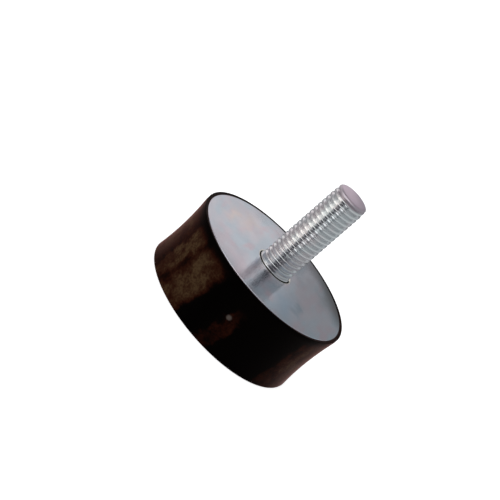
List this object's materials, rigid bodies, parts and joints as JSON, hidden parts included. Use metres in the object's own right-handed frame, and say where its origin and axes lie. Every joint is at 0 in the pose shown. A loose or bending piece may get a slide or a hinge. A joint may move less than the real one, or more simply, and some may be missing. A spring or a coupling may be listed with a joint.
{
  "type": "anti-vibration mount",
  "caption": "Round rubber anti-vibration mount with a bonded steel plate and a threaded stud standing out of its top, and a plain rubber base.",
  "frame": {"origin": "centre of the rubber base, on the surface that it rests on", "axes": "+Z along the stud, away from the rubber base; the part is round about Z, so +X is free"},
  "size_m": [0.05, 0.05, 0.0487],
  "materials": {
    "rubber": "semi-gloss moulded black rubber",
    "zinc_plate": "bright zinc plating with a faint blue and pink passivation",
    "zinc_stud": "bright zinc plating on a rolled thread"
  },
  "bodies": {
    "root": {"rubber_body": "rubber", "mounting_plate": "zinc_plate", "threaded_stud": "zinc_stud"}
  },
  "joints": []
}
